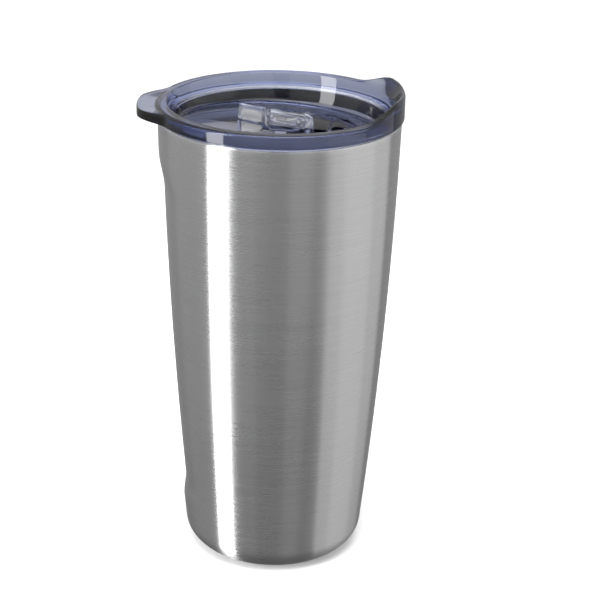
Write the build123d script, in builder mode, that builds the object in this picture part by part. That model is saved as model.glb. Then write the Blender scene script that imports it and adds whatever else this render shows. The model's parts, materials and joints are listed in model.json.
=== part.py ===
"""Insulated tumbler with a clear press-in lid and a sliding drink closure.

A double-wall vacuum cup: a stainless outer shell and liner meet at a rolled rim, and a
clear moulded lid sits on that rim, sealed by a silicone ring.  A slider on the lid's
sloping floor opens and closes the drinking hole; its prongs run in a slot.

Millimetres.  +Z is up, the origin is the centre of the foot, on the table.  The drinking
spout points to +X, and the lid's thumb tab and the cup's grip recess to -X.
"""

import os
from math import cos, radians, sin, sqrt

from build123d import *

os.makedirs("parts", exist_ok=True)

# ---- steel cup -------------------------------------------------------------------------
cup_height = 170.0
rim_radius = 44.0
base_radius = 33.0  # the side's radius where it would meet the table
side_bulge = 1.84  # how far the side stands proud of a straight cone, at mid height
base_rounding = 9.6
rounding_run = 0.9  # the rounding's run under the leaning side, for a radius of 1
rim_rounding = 1.0
shell_wall = 0.6
liner_wall = 0.6
vacuum_gap = 3.4
liner_floor_gap = 10.0  # from the table to the underside of the liner
liner_rounding = 8.0
rim_width = 3.4  # steel rim, from its outside to the mouth
mouth_depth = 14.0  # straight seat that the lid's seal slides in
mouth_taper = 5.0  # height of the slope between the seat and the liner's side
mouth_edge_rounding = 0.3
liner_joint_height = 24.0  # where the liner's own bottom is welded on

# ---- grip recess in the shell's -X side ------------------------------------------------
recess_depth = 1.65
recess_foot = 17.0
recess_head_gap = 12.0  # from the recess to the rim
recess_start = 0.25  # how far outside the side the shoulders begin, so they cross it
lower_shoulder = 11.0
upper_shoulder = 14.0
recess_flattening = 11.8  # how far the recess's own axis is moved to +X

# ---- base ------------------------------------------------------------------------------
foot_ring_width = 3.2
foot_hem_height = 2.6
base_disc_height = 1.8
dimple_radius = 4.5
dimple_depth = 1.0
vacuum_hole_radius = 0.8
seal_edge_gap = 1.0  # from the dimple's side to the sealing bead
seal_depth = 0.8
seal_rounding = 0.5
cap_height = 0.7  # the cosmetic cap's underside above the table
cap_clearance = 0.3
cap_rounding = 0.3
cap_wall = 0.45
getter_radius = 4.0
getter_thickness = 1.6
getter_chamfer = 0.3
getter_offset = 11.0
clip_width = 3.0
clip_thickness = 0.4
clip_foot = 2.5
clip_clearance = 0.2
foil_thickness = 0.1
foil_gap = 0.1
foil_bottom = 26.0

# ---- lid -------------------------------------------------------------------------------
lid_seat_gap = 0.1  # air between the flange and the steel rim
flange_overhang = 0.8  # how far the flange stands out past the steel
flange_thickness = 5.1
flange_rounding = 0.9
well_rim_width = 4.2  # flange, from its outside to the top of the well
well_wall = 2.9  # plug skirt, from its outside to the foot of the well
floor_drop = 5.1  # from the steel rim down to the lid's floor, on the axis
floor_slope = 2.9  # degrees, falling towards the spout
floor_thickness = 2.2
plug_clearance = 0.5  # lid skirt to mouth
plug_depth = 12.4
skirt_wall = 2.5
well_fillet = 1.2
groove_height = 5.0
groove_depth = 0.7
groove_offset = 6.6  # from the skirt's lower end to the groove
seal_clearance = 0.2
seal_lip = 0.7
seal_waist = 0.3  # how far the ring's waist lies inside the skirt
tab_reach = 7.0  # how far the tab stands out past the flange
tab_bow = 0.8  # how far the middle of its tip stands out past its corners
tab_half_width = 11.5
tab_root_half_width = 19.8
tab_corner = 4.0
tab_bottom_rise = 0.9  # above the flange's underside
tab_top_drop = 0.3  # below the flange's top
spout_height = 4.8  # above the flange's top
spout_half_width = 34.0
spout_top_half_width = 14.0
spout_wall = 3.4
spout_crest_width = 1.4
spout_foot_rise = 1.0  # the flange's top to the foot of the spout's inner slope

# ---- slider and its slot, in the lid floor's own sloping frame -------------------------
slider_back = -15.2
slider_length = 27.0
slider_half_width = 10.3
slider_corner = 0.8
slider_rest_gap = 0.15  # above the floor
slider_back_height = 5.8
slider_front_height = 3.0
slider_travel = 14.3
pad_length = 9.6
notch_depth = 1.0
ridge_length = 3.2
ridge_rise = 0.7
slider_wall = 1.4
prong_back = -1.6
prong_length = 4.0
prong_inner = 0.8
prong_thickness = 1.4
hook_reach = 1.0
hook_thickness = 1.2
slot_clearance = 0.3
drink_hole_land = 1.7  # floor left between the prongs' slot and the drinking hole
drink_hole_length = 6.5
drink_hole_half_width = 7.5
drink_hole_corner = 3.0

# ---- making ----------------------------------------------------------------------------
weld_overlap = 1.0  # how far joined shapes of one moulding run into each other
cut_past = 1.0  # how far a cut runs past the material
tiny = 1e-6

# ---- derived ---------------------------------------------------------------------------
liner_inset = shell_wall + vacuum_gap
mouth_radius = rim_radius - rim_width
weld_radius = (mouth_radius + liner_wall + rim_radius) / 2
seat_foot = cup_height - mouth_depth
lid_bottom = cup_height + lid_seat_gap
lid_top = lid_bottom + flange_thickness
flange_radius = rim_radius + flange_overhang
plug_radius = mouth_radius - plug_clearance
plug_bottom = cup_height - plug_depth
well_top_radius = flange_radius - well_rim_width
well_floor_radius = plug_radius - well_wall
floor_height = cup_height - floor_drop
tilt = radians(floor_slope)
floor_plane = Plane(
    origin=(0, 0, floor_height),
    x_dir=(cos(tilt), 0, -sin(tilt)),
    z_dir=(sin(tilt), 0, cos(tilt)),
)
slider_side_plane = Plane(  # looks along +Y at the slider's side: local x down the slope
    origin=floor_plane.origin, x_dir=floor_plane.x_dir, z_dir=(0, -1, 0)
)


def side_radius(z):
    """Radius of the cup's outside at height z: a straight cone plus a shallow bow."""
    t = z / cup_height
    return base_radius + (rim_radius - base_radius) * t + 4 * side_bulge * t * (1 - t)


def side_arc(z0, z1, inset, shift=0.0):
    """The side's outline from z0 to z1, moved inwards by inset and outwards by shift."""
    heights = (z0, (z0 + z1) / 2, z1)
    return ThreePointArc(*[(side_radius(z) - inset + shift, z) for z in heights])


def cup_solid(z0, z1, inset, lower_fillet, upper_fillet=0.0):
    """A solid of revolution inside the side's outline, with a flat floor and top."""
    with BuildPart() as body:
        with BuildSketch(Plane.XZ) as outline:
            with BuildLine():
                side_arc(z0, z1, inset)
                Polyline(
                    (side_radius(z1) - inset, z1),
                    (0, z1),
                    (0, z0),
                    (side_radius(z0) - inset, z0),
                )
            make_face()
            corners = outline.vertices().group_by(Axis.X)
            outer = [v for group in corners for v in group if v.X > tiny]
            fillet(min(outer, key=lambda v: v.Y), lower_fillet)
            if upper_fillet:
                top = [v for v in outline.vertices() if v.X > tiny and abs(v.Y - z1) < tiny]
                fillet(max(top, key=lambda v: v.X), upper_fillet)
        revolve(axis=Axis.Z)
    return body.part


def grip_recess(inset):
    """What the grip recess takes from the side: a ring about an axis moved to +X."""
    head = cup_height - recess_head_gap
    out = recess_flattening - inset
    low = recess_foot + lower_shoulder
    high = head - upper_shoulder
    with BuildPart() as cut:
        plane = Plane(origin=(recess_flattening, 0, 0), x_dir=(-1, 0, 0), z_dir=(0, 1, 0))
        with BuildSketch(plane):
            with BuildLine():
                foot = (side_radius(recess_foot) + out + recess_start, recess_foot)
                low_end = (side_radius(low) + out - recess_depth, low)
                high_end = (side_radius(high) + out - recess_depth, high)
                top = (side_radius(head) + out + recess_start, head)
                Spline(foot, low_end, tangents=[(0.1, 1), (0.1, 1)])
                side_arc(low, high, inset + recess_depth, recess_flattening)
                Spline(high_end, top, tangents=[(0.05, 1), (0.05, 1)])
                far = rim_radius + recess_flattening + 4 * recess_depth
                Polyline(top, (far, head), (far, recess_foot), foot)
            make_face()
        revolve(axis=Axis((recess_flattening, 0, 0), (0, 0, 1)))
    return cut.part


# ======================= steel cup ======================================================

foot_ring_outer = side_radius(0) - rounding_run * base_rounding
foot_inner = foot_ring_outer - foot_ring_width

shell_outside = cup_solid(0, cup_height, 0, base_rounding, rim_rounding)
shell_inside = cup_solid(
    shell_wall,
    cup_height - shell_wall,
    shell_wall,
    base_rounding - shell_wall,
    rim_rounding - shell_wall,
)
outer_recess = grip_recess(0)
inner_recess = grip_recess(shell_wall)

with BuildPart() as shell_void:
    add(shell_inside)
    add(inner_recess, mode=Mode.SUBTRACT)

with BuildPart() as outer_shell:
    add(shell_outside)
    add(outer_recess, mode=Mode.SUBTRACT)
    add(shell_void.part, mode=Mode.SUBTRACT)
    with BuildSketch(Plane.XY.offset(cup_height - 2 * shell_wall)):
        Circle(weld_radius)
    extrude(amount=3 * shell_wall, mode=Mode.SUBTRACT)
    with BuildSketch(Plane.XY):
        Circle(foot_inner)
    extrude(amount=shell_wall, mode=Mode.SUBTRACT)
    with BuildSketch(Plane.XY):
        Circle(foot_inner + shell_wall)
        Circle(foot_inner, mode=Mode.SUBTRACT)
    extrude(amount=foot_hem_height)
outer_shell.part.label = "outer_shell"
export_step(outer_shell.part, "parts/outer_shell.step")


def liner_solid(wall):
    """The liner's outside when wall is 0, and its inside when wall is the liner's wall."""
    inset = liner_inset + wall
    floor = liner_floor_gap + wall
    taper_foot = seat_foot - mouth_taper
    with BuildPart() as body:
        with BuildSketch(Plane.XZ) as outline:
            with BuildLine():
                side_arc(floor, taper_foot, inset)
                Polyline(
                    (side_radius(taper_foot) - inset, taper_foot),
                    (mouth_radius + liner_wall - wall, seat_foot),
                    (mouth_radius + liner_wall - wall, cup_height),
                    (0, cup_height),
                    (0, floor),
                    (side_radius(floor) - inset, floor),
                )
            make_face()
            low = [v for v in outline.vertices() if v.X > tiny and abs(v.Y - floor) < tiny]
            fillet(low, liner_rounding - wall)
        revolve(axis=Axis.Z)
    return body.part


liner_outside = liner_solid(0)
liner_inside = liner_solid(liner_wall)

with BuildPart() as inner_liner:
    add(liner_outside)
    with BuildSketch(Plane.XY.offset(cup_height - shell_wall)):
        Circle(weld_radius)
    extrude(amount=shell_wall)
    add(liner_inside, mode=Mode.SUBTRACT)
    mouth_edge = inner_liner.edges().filter_by(GeomType.CIRCLE).group_by(Axis.Z)[-1]
    fillet(mouth_edge.sort_by(SortBy.RADIUS)[0], mouth_edge_rounding)
    split(bisect_by=Plane.XY.offset(liner_joint_height), keep=Keep.TOP)
inner_liner.part.label = "inner_liner"
export_step(inner_liner.part, "parts/inner_liner.step")

with BuildPart() as inner_base:
    add(liner_outside)
    add(liner_inside, mode=Mode.SUBTRACT)
    split(bisect_by=Plane.XY.offset(liner_joint_height), keep=Keep.BOTTOM)
inner_base.part.label = "inner_base"
export_step(inner_base.part, "parts/inner_base.step")

with BuildPart() as copper_foil:
    foil_top = seat_foot - mouth_taper - foil_gap
    with BuildSketch(Plane.XZ):
        with BuildLine():
            outer_face = side_arc(foil_bottom, foil_top, liner_inset - foil_gap - foil_thickness)
            inner_face = side_arc(foil_bottom, foil_top, liner_inset - foil_gap)
            Line(outer_face @ 0, inner_face @ 0)
            Line(outer_face @ 1, inner_face @ 1)
        make_face()
    revolve(axis=Axis.Z)
copper_foil.part.label = "copper_foil"
export_step(copper_foil.part, "parts/copper_foil.step")

# ======================= base ===========================================================

dimple_top = base_disc_height + dimple_depth

with BuildPart() as outer_base:
    with BuildSketch(Plane.XY.offset(base_disc_height)):
        Circle(foot_inner)
    extrude(amount=shell_wall)
    with BuildSketch(Plane.XY.offset(base_disc_height)):
        Circle(dimple_radius + shell_wall)
    extrude(amount=dimple_depth + shell_wall)
    with BuildSketch(Plane.XY.offset(base_disc_height)):
        Circle(dimple_radius)
    extrude(amount=dimple_depth, mode=Mode.SUBTRACT)
    with BuildSketch(Plane.XY.offset(base_disc_height)):
        Circle(vacuum_hole_radius)
    extrude(amount=dimple_depth + 2 * shell_wall, mode=Mode.SUBTRACT)
outer_base.part.label = "outer_base"
export_step(outer_base.part, "parts/outer_base.step")

with BuildPart() as vacuum_seal:
    with BuildSketch(Plane.XY.offset(dimple_top - seal_depth)):
        Circle(dimple_radius - seal_edge_gap)
    extrude(amount=seal_depth)
    fillet(vacuum_seal.edges().group_by(Axis.Z)[0], seal_rounding)
vacuum_seal.part.label = "vacuum_seal"
export_step(vacuum_seal.part, "parts/vacuum_seal.step")

with BuildPart() as base_cap:
    cap_radius = foot_inner - cap_clearance
    with BuildSketch(Plane.XY.offset(cap_height)):
        Circle(cap_radius)
    extrude(amount=base_disc_height - cap_height)
    fillet(base_cap.edges().group_by(Axis.Z)[0], cap_rounding)
    with BuildSketch(Plane.XY.offset(cap_height + cap_wall)):
        Circle(cap_radius - cap_wall)
    extrude(amount=base_disc_height - cap_height, mode=Mode.SUBTRACT)
base_cap.part.label = "base_cap"
export_step(base_cap.part, "parts/base_cap.step")

getter_foot = base_disc_height + shell_wall

with BuildPart() as getter:
    with BuildSketch(Plane.XY.offset(getter_foot)):
        with Locations((getter_offset, 0)):
            Circle(getter_radius)
    extrude(amount=getter_thickness)
    chamfer(getter.edges().group_by(Axis.Z)[-1], getter_chamfer)
getter.part.label = "getter"
export_step(getter.part, "parts/getter.step")

with BuildPart() as getter_clip:
    strap_top = getter_thickness + clip_thickness
    arm = getter_radius + clip_clearance
    with BuildSketch(Plane(origin=(getter_offset, 0, getter_foot), x_dir=(0, 1, 0), z_dir=(1, 0, 0))):
        with BuildLine():
            Polyline(
                (-arm - clip_foot, 0),
                (-arm, 0),
                (-arm, getter_thickness),
                (arm, getter_thickness),
                (arm, 0),
                (arm + clip_foot, 0),
                (arm + clip_foot, clip_thickness),
                (arm + clip_thickness, clip_thickness),
                (arm + clip_thickness, strap_top),
                (-arm - clip_thickness, strap_top),
                (-arm - clip_thickness, clip_thickness),
                (-arm - clip_foot, clip_thickness),
                close=True,
            )
        make_face()
    extrude(amount=clip_width / 2, both=True)
getter_clip.part.label = "getter_clip"
export_step(getter_clip.part, "parts/getter_clip.step")

# ======================= slider =========================================================

slider_front = slider_back + slider_length
slot_front = prong_back + prong_length + slider_travel + slot_clearance
slot_length = prong_length + slider_travel + 2 * slot_clearance
prong_outer = prong_inner + prong_thickness
top_fall = (slider_back_height - slider_front_height) / slider_length


def slider_top(u):
    """Height of the slider's wedge-shaped top above the lid's floor, u along the slope."""
    return slider_back_height - top_fall * (u - slider_back)


with BuildPart() as slider:
    pad_end = slider_back + pad_length
    ridge_start = slider_front - ridge_length
    with BuildSketch(slider_side_plane):
        with BuildLine():
            Polyline(
                (slider_back, slider_rest_gap),
                (slider_back, slider_top(slider_back)),
                (pad_end, slider_top(pad_end)),
                (pad_end + notch_depth, slider_top(pad_end) - 1.5 * notch_depth),
                (pad_end + 2 * notch_depth, slider_top(pad_end) - 0.5 * notch_depth),
                (ridge_start, slider_top(ridge_start)),
                (ridge_start + 0.3 * ridge_rise, slider_top(ridge_start) + ridge_rise),
                (slider_front, slider_top(slider_front) + ridge_rise),
                (slider_front, slider_rest_gap),
                close=True,
            )
        make_face()
    extrude(amount=slider_half_width, both=True)
    upright = Axis(floor_plane.origin, floor_plane.z_dir)
    fillet(slider.edges().filter_by(upright), slider_corner)
    # it is a shell: hollow underneath, with a step in the hollow's roof under the notch
    with BuildSketch(slider_side_plane):
        with BuildLine():
            roof = slider_top(pad_end) - 1.5 * notch_depth - slider_wall
            Polyline(
                (slider_back + slider_wall, slider_rest_gap - cut_past),
                (slider_back + slider_wall, slider_top(slider_back) - slider_wall),
                (pad_end - slider_wall, slider_top(pad_end) - slider_wall),
                (pad_end, roof),
                (slider_front - slider_wall, slider_top(slider_front) - slider_wall),
                (slider_front - slider_wall, slider_rest_gap - cut_past),
                close=True,
            )
        make_face()
    extrude(amount=slider_half_width - slider_wall, both=True, mode=Mode.SUBTRACT)
    # two snap prongs reach down through the floor's slot and hook under it
    hook_top = -floor_thickness - slider_rest_gap
    prong_middle = prong_back + prong_length / 2
    for side in (-1, 1):
        with BuildSketch(floor_plane.offset(hook_top - hook_thickness)):
            with Locations((prong_middle, side * (prong_inner + prong_thickness / 2))):
                Rectangle(prong_length, prong_thickness)
        extrude(amount=hook_thickness - hook_top + roof + slider_wall / 2)
        with BuildSketch(floor_plane.offset(hook_top - hook_thickness)):
            with Locations((prong_middle, side * (prong_outer + hook_reach / 2))):
                Rectangle(prong_length, hook_reach)
        extrude(amount=hook_thickness)
slider.part.label = "slider"
export_step(slider.part, "parts/slider.step")

# ======================= lid ============================================================

with BuildPart() as lid_well:
    with BuildSketch(Plane.XZ):
        with BuildLine():
            well_slope = (well_top_radius - well_floor_radius) / (lid_top - floor_height)
            deep = floor_height - well_floor_radius * sin(tilt) - cut_past
            high = lid_top + cut_past
            Polyline(
                (0, deep),
                (well_top_radius - well_slope * (lid_top - deep), deep),
                (well_top_radius + well_slope * (high - lid_top), high),
                (0, high),
                close=True,
            )
        make_face()
    revolve(axis=Axis.Z)
    split(bisect_by=floor_plane, keep=Keep.TOP)
    fillet(lid_well.faces().sort_by(Axis.Z)[0].edges(), well_fillet)

with BuildPart() as lid_underside:
    with BuildSketch(Plane.XY.offset(plug_bottom - cut_past)):
        Circle(plug_radius - skirt_wall)
    extrude(amount=plug_depth)
    split(bisect_by=floor_plane.offset(-floor_thickness), keep=Keep.BOTTOM)

with BuildPart() as spout_ring:
    with BuildSketch(Plane.XZ):
        with BuildLine():
            spout_inner = flange_radius - spout_wall
            crest = lid_top + spout_height
            Polyline(
                (spout_inner, lid_top - weld_overlap),
                (flange_radius, lid_top - weld_overlap),
                (flange_radius, crest),
                (flange_radius - spout_crest_width, crest),
                (spout_inner, lid_top + spout_foot_rise),
                close=True,
            )
        make_face()
    revolve(axis=Axis.Z)

with BuildPart() as spout:
    # the spout's rise and fall, seen along X
    with BuildSketch(Plane.YZ):
        with BuildLine():
            left = Spline(
                (-spout_half_width, lid_top),
                (-spout_top_half_width, crest),
                tangents=[(1, 0), (1, 0)],
            )
            right = Spline(
                (spout_top_half_width, crest),
                (spout_half_width, lid_top),
                tangents=[(1, 0), (1, 0)],
            )
            Line(left @ 1, right @ 0)
            Polyline(
                right @ 1,
                (spout_half_width, lid_top - weld_overlap),
                (-spout_half_width, lid_top - weld_overlap),
                left @ 0,
            )
        make_face()
    extrude(amount=flange_radius + cut_past)
    add(spout_ring.part, mode=Mode.INTERSECT)

with BuildPart() as lid_body:
    with BuildSketch(Plane.XY.offset(plug_bottom)):
        Circle(plug_radius)
    extrude(amount=lid_bottom - plug_bottom + weld_overlap)
    with BuildSketch(Plane.XY.offset(lid_bottom)):
        Circle(flange_radius)
    extrude(amount=flange_thickness)
    flange_edges = lid_body.edges().filter_by(GeomType.CIRCLE).group_by(SortBy.RADIUS)[-1]
    fillet(flange_edges.sort_by(Axis.Z)[-1], flange_rounding)
    # thumb tab
    with BuildSketch(Plane.XY.offset(lid_bottom + tab_bottom_rise)) as tab:
        tip = -flange_radius - tab_reach
        root = -sqrt((flange_radius - weld_overlap) ** 2 - tab_root_half_width**2)
        with BuildLine():
            Polyline(
                (0, tab_root_half_width),
                (root, tab_root_half_width),
                (tip + tab_bow, tab_half_width),
                (tip, 0),
                (tip + tab_bow, -tab_half_width),
                (root, -tab_root_half_width),
                (0, -tab_root_half_width),
                close=True,
            )
        make_face()
        tip_corners = [v for v in tab.vertices() if abs(v.X - tip - tab_bow) < tiny]
        fillet(tip_corners, tab_corner)
    extrude(amount=flange_thickness - tab_bottom_rise - tab_top_drop)
    add(spout.part)
    add(lid_well.part, mode=Mode.SUBTRACT)
    add(lid_underside.part, mode=Mode.SUBTRACT)
    # groove for the silicone ring
    with BuildSketch(Plane.XY.offset(plug_bottom + groove_offset)):
        Circle(plug_radius + cut_past)
        Circle(plug_radius - groove_depth, mode=Mode.SUBTRACT)
    extrude(amount=groove_height, mode=Mode.SUBTRACT)
    # openings in the floor: the prongs' slot, which also lets air in, and the drinking hole
    with BuildSketch(floor_plane.offset(-2 * floor_thickness)):
        with Locations((slot_front - slot_length / 2, 0)):
            Rectangle(slot_length, 2 * (prong_outer + slot_clearance))
        hole_middle = slot_front + drink_hole_land + drink_hole_length / 2
        with Locations((hole_middle, 0)):
            RectangleRounded(drink_hole_length, 2 * drink_hole_half_width, drink_hole_corner)
    extrude(amount=3 * floor_thickness, mode=Mode.SUBTRACT)
lid_body.part.label = "lid_body"
export_step(lid_body.part, "parts/lid_body.step")

with BuildPart() as lid_gasket:
    # a ring in the groove with two soft lips
    with BuildSketch(Plane.XZ):
        with BuildLine():
            foot = plug_bottom + groove_offset
            inner = plug_radius - groove_depth
            lip = mouth_radius - seal_clearance
            waist = plug_radius - seal_waist
            Polyline(
                (inner, foot),
                (waist, foot),
                (lip, foot + 0.5 * seal_lip),
                (lip, foot + seal_lip),
                (waist, foot + 2 * seal_lip),
                (waist, foot + groove_height - 1.5 * seal_lip),
                (lip, foot + groove_height - 0.5 * seal_lip),
                (lip, foot + groove_height),
                (inner, foot + groove_height),
                close=True,
            )
        make_face()
    revolve(axis=Axis.Z)
lid_gasket.part.label = "lid_gasket"
export_step(lid_gasket.part, "parts/lid_gasket.step")

print("overall height", round(crest, 1), "mm, across the tab", round(2 * flange_radius + tab_reach, 1), "mm")
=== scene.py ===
# %% [markdown]
# # An insulated tumbler with a clear slide lid
# The real tumbler is two thin stainless cups, one in the other, with a clear moulded lid
# pushed into the mouth. Nearly everything on it is a turned shape, so this lesson builds
# each piece as a profile carried round the axis, and bends that profile with the angle
# where the real one stops being round: the grip recess, the thumb tab and the spout.
# The CAD model is the fixed frame. It gives the places, and each piece here stands for
# one of its nodes.

# %% Load the frame
import json
import math

import bmesh
import bpy
import numpy as np
from mathutils import Matrix, Vector


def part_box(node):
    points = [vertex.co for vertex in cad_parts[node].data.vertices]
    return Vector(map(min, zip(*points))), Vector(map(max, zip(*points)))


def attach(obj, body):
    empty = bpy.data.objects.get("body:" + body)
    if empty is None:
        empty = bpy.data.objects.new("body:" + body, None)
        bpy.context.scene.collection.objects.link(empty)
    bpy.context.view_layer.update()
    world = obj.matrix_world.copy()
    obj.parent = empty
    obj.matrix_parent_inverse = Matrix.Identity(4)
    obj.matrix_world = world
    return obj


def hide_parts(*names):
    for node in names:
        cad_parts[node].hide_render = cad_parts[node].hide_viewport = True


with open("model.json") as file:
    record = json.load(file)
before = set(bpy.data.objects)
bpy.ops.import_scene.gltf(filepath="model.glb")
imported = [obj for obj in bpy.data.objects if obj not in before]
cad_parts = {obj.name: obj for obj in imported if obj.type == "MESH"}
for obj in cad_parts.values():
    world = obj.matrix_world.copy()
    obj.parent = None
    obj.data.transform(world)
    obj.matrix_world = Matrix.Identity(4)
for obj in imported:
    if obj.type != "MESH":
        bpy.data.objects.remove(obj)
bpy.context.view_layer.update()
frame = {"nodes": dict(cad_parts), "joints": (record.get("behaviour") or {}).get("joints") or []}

MM = 0.001

# %% [markdown]
# ## Places read from the frame
# A piece goes where its CAD node is, so the few sizes that every piece shares are read
# once. Only what a box can't say, such as the bow of the side or a wall's thickness, is
# a named value of its own.

# %% Sizes
cup_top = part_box("outer_shell")[1].z
rim_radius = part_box("outer_shell")[1].y
mouth_radius = rim_radius - 3.4 * MM
weld_radius = rim_radius - 1.4 * MM
base_radius = 33.0 * MM
side_bow = 1.84 * MM
shell_wall = 0.6 * MM
vacuum_gap = 3.4 * MM
lid_low, lid_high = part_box("lid_body")
flange_radius = lid_high.y
plug_bottom = lid_low.z
flange_bottom = cup_top + 0.1 * MM
flange_top = flange_bottom + 5.1 * MM
floor_height = cup_top - 5.1 * MM
floor_slope = math.radians(2.9)
floor_thickness = 2.2 * MM
plug_radius = mouth_radius - 0.5 * MM
print("cup", round(cup_top, 4), "flange radius", round(flange_radius, 4))

# %% [markdown]
# ## One helper for every turned surface
# A turned piece could be a Screw or Spin of a curve, but those can't change their outline
# on the way round. Here a piece is two arrays, radius and height, with one row for each
# point of the profile and one column for each angle. Any formula of the angle can bend
# them before they become a mesh.

# %% Turned surfaces
COLUMNS = 288
angle = np.arange(COLUMNS) * 2 * np.pi / COLUMNS


def smoothstep(start, end, value):
    """0 before start, 1 after end, and 3t^2 - 2t^3 between them."""
    t = np.clip((value - start) / (end - start), 0, 1)
    return t * t * (3 - 2 * t)


def mesh_object(name, vertices, faces):
    """A smooth-shaded object at the origin, turned inside out if its volume is negative."""
    mesh = bpy.data.meshes.new(name)
    mesh.from_pydata(vertices, [], faces)
    mesh.polygons.foreach_set("use_smooth", np.ones(len(mesh.polygons), bool))
    mesh.update()
    piece = bpy.data.objects.new(name, mesh)
    bpy.context.scene.collection.objects.link(piece)
    work = bmesh.new()
    work.from_mesh(mesh)
    if work.calc_volume(signed=True) < 0:
        bmesh.ops.reverse_faces(work, faces=work.faces)
        work.to_mesh(mesh)
    work.free()
    return piece


def turned(name, radius, height, wrap=False):
    """Point (row, column) lies at radius times (cos, sin) of the column's angle, and at
    that height. A first or last row on the axis becomes one pole vertex; wrap joins the
    last row to the first, as on a ring."""
    radius, height = np.broadcast_arrays(radius, height)
    points = np.stack([radius * np.cos(angle), radius * np.sin(angle), height], -1)
    rows = len(points)
    index = np.arange(rows * COLUMNS).reshape(rows, COLUMNS)
    ring = np.concatenate([index, index[:1]]) if wrap else index
    right = np.roll(ring, -1, axis=1)
    quads = np.stack([ring[:-1], right[:-1], right[1:], ring[1:]], -1).reshape(-1, 4)
    piece = mesh_object(name, points.reshape(-1, 3).tolist(), quads.tolist())
    if not wrap:
        work = bmesh.new()
        work.from_mesh(piece.data)
        bmesh.ops.remove_doubles(work, verts=work.verts, dist=1e-7)
        work.to_mesh(piece.data)
        work.free()
    return piece


def rounded(corners, steps=5):
    """A profile through the corners, each (radius, height, rounding). A corner's stretch
    from rounding before it to rounding after it is a quadratic curve with the corner as
    its middle control point. Any number may be an array over the columns."""
    full = [[np.broadcast_to(np.asarray(v, float), (COLUMNS,)) for v in c] for c in corners]
    spots = np.stack([np.stack(c[:2]) for c in full])
    cut = np.stack([c[2] for c in full])
    gap = np.linalg.norm(np.diff(spots, axis=0), axis=1)
    rows = [spots[0]]
    for i in range(1, len(spots) - 1):
        reach = np.minimum(cut[i], 0.48 * np.minimum(gap[i - 1], gap[i]))
        before = spots[i] + (spots[i - 1] - spots[i]) * reach / np.maximum(gap[i - 1], 1e-9)
        after = spots[i] + (spots[i + 1] - spots[i]) * reach / np.maximum(gap[i], 1e-9)
        for t in np.linspace(0, 1, steps):
            rows.append((1 - t) ** 2 * before + 2 * t * (1 - t) * spots[i] + t * t * after)
    rows.append(spots[-1])
    path = np.stack(rows)
    return path[:, 0], path[:, 1]


def refined(radius, height, longest=3 * MM):
    """The same profile with extra rows, evenly spaced, in every stretch over longest."""
    out_r, out_z = [radius[0]], [height[0]]
    for i in range(1, len(radius)):
        length = np.hypot(radius[i] - radius[i - 1], height[i] - height[i - 1]).max()
        for t in np.linspace(0, 1, max(2, int(length / longest) + 2))[1:]:
            out_r.append(radius[i - 1] + t * (radius[i] - radius[i - 1]))
            out_z.append(height[i - 1] + t * (height[i] - height[i - 1]))
    return np.array(out_r), np.array(out_z)


def walled(radius, height, wall):
    """The profile and its copy a wall's thickness to its right, one after the other, as
    the outline of sheet metal. The side is the tangent turned by a right angle."""
    dr, dz = np.gradient(radius, axis=0), np.gradient(height, axis=0)
    size = np.maximum(np.hypot(dr, dz), 1e-9)
    inner_r = np.maximum(radius + wall * dz / size, 0.0)
    inner_z = height - wall * dr / size
    return np.concatenate([radius, inner_r[::-1]]), np.concatenate([height, inner_z[::-1]])


# %% [markdown]
# ## Helpers for the node trees
# Every finish here is a small tree of nodes, so the steps that come back in each of them
# are functions: a group with float sockets, a Math node, a noise. Groups hand out only
# values and normals, and each material keeps its own Principled shader.

# %% Node helpers


def new_group(name, inputs, outputs):
    """An empty node group with named float sockets, and its input and output nodes."""
    group = bpy.data.node_groups.new(name, "ShaderNodeTree")
    for label, value in inputs:
        socket = group.interface.new_socket(label, in_out="INPUT", socket_type="NodeSocketFloat")
        socket.default_value = value
    for label, kind in outputs:
        group.interface.new_socket(label, in_out="OUTPUT", socket_type=kind)
    return group, group.nodes.new("NodeGroupInput"), group.nodes.new("NodeGroupOutput")


def math_node(tree, operation, a, b):
    """A Math node of two inputs, each a number or a socket."""
    node = tree.nodes.new("ShaderNodeMath")
    node.operation = operation
    for socket, value in zip(node.inputs, (a, b)):
        if isinstance(value, (int, float)):
            socket.default_value = value
        else:
            tree.links.new(value, socket)
    return node.outputs[0]


def noise(tree, vector, scale, detail=3.0, roughness=0.55):
    """Noise of that scale on a vector socket."""
    node = tree.nodes.new("ShaderNodeTexNoise")
    node.inputs["Scale"].default_value = scale
    node.inputs["Detail"].default_value = detail
    node.inputs["Roughness"].default_value = roughness
    tree.links.new(vector, node.inputs["Vector"])
    return node.outputs["Fac"]


def place_group(tree, group, **values):
    """A group node with its own values."""
    node = tree.nodes.new("ShaderNodeGroup")
    node.node_tree = group
    for label, value in values.items():
        node.inputs[label.replace("_", " ")].default_value = value
    return node


def base_material(name, **constants):
    """A material whose Principled shader has these constants, its tree and the shader."""
    material = bpy.data.materials.new(name)
    material.use_nodes = True
    tree = material.node_tree
    shader = tree.nodes["Principled BSDF"]
    for label, value in constants.items():
        shader.inputs[label.replace("_", " ")].default_value = value
    return material, tree, shader


def spread(tree, value, middle, swing):
    """middle plus swing times a value: what a mask becomes before it feeds a socket."""
    return math_node(tree, "ADD", math_node(tree, "MULTIPLY", value, swing), middle)


def shade(tree, colour, brightness):
    """A colour times a brightness socket."""
    mix = tree.nodes.new("ShaderNodeVectorMath")
    mix.operation = "SCALE"
    mix.inputs[0].default_value = colour
    tree.links.new(brightness, mix.inputs["Scale"])
    return mix.outputs[0]


# %% [markdown]
# ## Hairlines and handling marks
# Two groups serve nearly every finish. The first is the brushing: noise stretched so far
# round the cup that it becomes lines. The second is what hands leave on a surface, soft
# clouds that only show where they are thickest.

# %% Shared effects


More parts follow.
